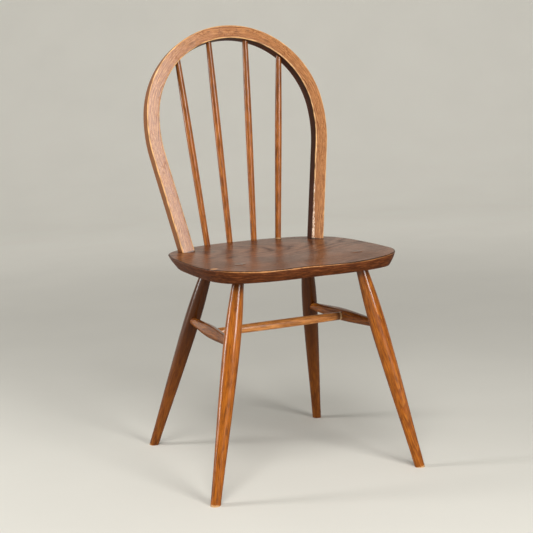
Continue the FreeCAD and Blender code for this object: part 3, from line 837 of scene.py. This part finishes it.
class CHAIR_OT_spindles(bpy.types.Operator):
    """Dresses the four turned back spindles"""
    bl_idname = "chair.spindles"
    bl_label = "Spindles"

    def execute(self, context):
        look = context.scene.chair_look
        for number, node, axis, length in turned_nodes("spindle"):
            # Darker towards the head, and dark at the foot. One joint has drawn.
            shaded = [(length * 0.55, length * 0.85, 0.42), (5, 0.5, 0.6)]
            pale = (0, 2.2) if node == "outer_spindle_right" else None
            dress(node, lacquered_beech(node, axis, look, number + 3, shaded, "spindle", pale_ring=pale,
                                        duller=(length * 0.75, length * 0.45, 0.6)))
        return {"FINISHED"}


class CHAIR_OT_legs(bpy.types.Operator):
    """Dresses the four turned legs, with their scraped feet"""
    bl_idname = "chair.legs"
    bl_label = "Legs"

    def execute(self, context):
        look = context.scene.chair_look
        for number, node, axis, length in turned_nodes("leg"):
            # Painted shadow of the seat just under it, and painted shade on the back legs all over, most
            # towards the top.
            shaded = [(length * 0.875, length * 0.91, 0.8)]
            if "back" in node:
                shaded += [(-1, 0, 0.45), (60, length * 0.65, 0.85)]
            dress(node, lacquered_beech(node, axis, look, number * 5 + 2, shaded, worn_foot=True,
                                        shown_top=length - TENON_SHOWN))
        return {"FINISHED"}


class CHAIR_OT_stretchers(bpy.types.Operator):
    """Dresses the side and cross stretchers"""
    bl_idname = "chair.stretchers"
    bl_label = "Stretchers"

    def execute(self, context):
        look = context.scene.chair_look
        for number, node, axis, length in turned_nodes("stretcher"):
            # Dark at both joints, and by its right joint the cross stretcher is darker still with painted
            # shadow. That joint has drawn.
            if "side" in node:
                tones, pale = "turned", None
                shaded = [(length, 0, 0.45), (22, 12, 0.7), (length - 22, length - 12, 0.7)]
            else:
                # Its paler tones are painted light.
                tones, pale = "cross", (length - 16, length - 11.5)
                shaded = [(16, 10, 0.4), (length - 28, length - 18, 0.75)]
            dress(node, lacquered_beech(node, axis, look, number * 3 + 11, shaded, tones, pale_ring=pale))
        return {"FINISHED"}


class CHAIR_OT_wedges(bpy.types.Operator):
    """Dresses the wedges that spread the leg tenons"""
    bl_idname = "chair.wedges"
    bl_label = "Wedges"

    def execute(self, context):
        material = end_grain(context.scene.chair_look)
        for node in (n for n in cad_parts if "wedge" in n):
            dress(node, material)
        return {"FINISHED"}


def place_camera(scene, s):
    """The photograph's camera, turned a little about its line of sight."""
    right = Vector((math.cos(s.azimuth), math.sin(s.azimuth), 0))
    level = math.cos(s.elevation)
    back = Vector((math.sin(s.azimuth) * level, -math.cos(s.azimuth) * level, math.sin(s.elevation)))
    up = back.cross(right)
    across, along = math.cos(s.roll), math.sin(s.roll)
    tilted = Matrix((across * right + along * up, -along * right + across * up, back)).transposed().to_4x4()
    target = right * AIM_RIGHT + Vector((0, SHIFT_Y * MM, AIM_HEIGHT))
    camera = bpy.data.cameras.new("camera")
    camera.lens = s.lens_px / PHOTO_PX * camera.sensor_width
    holder = bpy.data.objects.new("camera", camera)
    scene.collection.objects.link(holder)
    holder.matrix_world = Matrix.Translation(target + back * s.distance) @ tilted
    scene.camera = holder


def hang_paper(s):
    """Seamless paper: a floor whose back edge is drawn up and its fold rounded, square to the camera."""
    bpy.ops.object.select_all(action="DESELECT")
    bpy.ops.mesh.primitive_plane_add(size=PAPER_SIZE, location=(0, 0, 0))
    paper = bpy.context.object
    edit_selected("EDGE")
    back = PAPER_SIZE / 2 - MM
    select_edges(paper, lambda co: co.y > back)
    bpy.ops.mesh.extrude_edges_move(TRANSFORM_OT_translate={"value": (0, 0, PAPER_RISE)})
    select_edges(paper, lambda co: co.y > back and co.z < MM)
    bpy.ops.mesh.bevel(offset=PAPER_BEND, segments=24, affect="EDGES")
    bpy.ops.object.mode_set(mode="OBJECT")
    paper.rotation_euler = (0, 0, s.azimuth)
    bpy.ops.object.transform_apply(location=True, rotation=True, scale=True)
    bpy.ops.object.shade_smooth()
    paper.name = "paper"
    paper.data.materials.append(studio_paper(s.paper))


def light_stage(scene, s):
    """Three soft lamps, and an even sky that is darker in the lacquer than in the light on the wood."""
    for name, (size, bearing, far, height) in LAMPS.items():
        lamp = bpy.data.lights.new(name, "AREA")
        lamp.shape = "RECTANGLE"
        lamp.energy, (lamp.size, lamp.size_y) = getattr(s, f"{name}_power"), size
        stand = bpy.data.objects.new(name, lamp)
        turned = math.radians(bearing)
        spot = Vector((math.sin(turned) * far, -math.cos(turned) * far, height))
        aimed = (spot - Vector((0, 0, LAMPS_AIM))).to_track_quat("Z", "Y").to_matrix().to_4x4()
        stand.matrix_world = Matrix.Translation(spot) @ aimed
        scene.collection.objects.link(stand)
    world = bpy.data.worlds.new("studio")
    scene.world = world
    world.use_nodes = True
    tree = world.node_tree
    sky = tree.nodes["Background"]
    sky.inputs["Color"].default_value = (1.0, 0.98, 0.95, 1)
    glossy_ray = add_node(tree, "LightPath", output=3)
    strength = add_node(tree, "MapRange", {0: glossy_ray, 1: 0.0, 2: 1.0, 3: s.sky, 4: s.sky_sheen})
    tree.links.new(strength, sky.inputs["Strength"])


class CHAIR_OT_stage(bpy.types.Operator):
    """Sets the camera, seamless pale paper and soft lamps"""
    bl_idname = "chair.stage"
    bl_label = "Stage"

    def execute(self, context):
        scene, settings = context.scene, context.scene.chair_stage
        place_camera(scene, settings)
        hang_paper(settings)
        light_stage(scene, settings)
        scene.view_settings.view_transform = "Standard"
        return {"FINISHED"}


class CHAIR_PT_sidebar(bpy.types.Panel):
    """Lists the chair's pieces, sizes and colours"""
    bl_idname = "CHAIR_PT_sidebar"
    bl_label = "Windsor chair"
    bl_space_type = "VIEW_3D"
    bl_region_type = "UI"
    bl_category = "Chair"

    def draw(self, context):
        for group in (context.scene.chair_look, context.scene.chair_stage):
            for name in group.bl_rna.properties.keys():
                if name not in ("name", "rna_type"):
                    self.layout.prop(group, name)
        for operator in OPERATORS:
            self.layout.operator(operator.bl_idname)


OPERATORS = (CHAIR_OT_seat, CHAIR_OT_hoop, CHAIR_OT_spindles, CHAIR_OT_legs, CHAIR_OT_stretchers,
             CHAIR_OT_wedges, CHAIR_OT_stage)
CLASSES = (ChairLook, ChairStage, *OPERATORS, CHAIR_PT_sidebar)


def register():
    for cls in CLASSES:
        bpy.utils.register_class(cls)
    bpy.types.Scene.chair_look = PointerProperty(type=ChairLook)
    bpy.types.Scene.chair_stage = PointerProperty(type=ChairStage)


def unregister():
    del bpy.types.Scene.chair_stage
    del bpy.types.Scene.chair_look
    for cls in reversed(CLASSES):
        bpy.utils.unregister_class(cls)


def main():
    register()
    bpy.ops.chair.seat()
    bpy.ops.chair.hoop()
    bpy.ops.chair.spindles()
    bpy.ops.chair.legs()
    bpy.ops.chair.stretchers()
    bpy.ops.chair.wedges()
    bpy.ops.chair.stage()


if __name__ == "__main__":
    main()
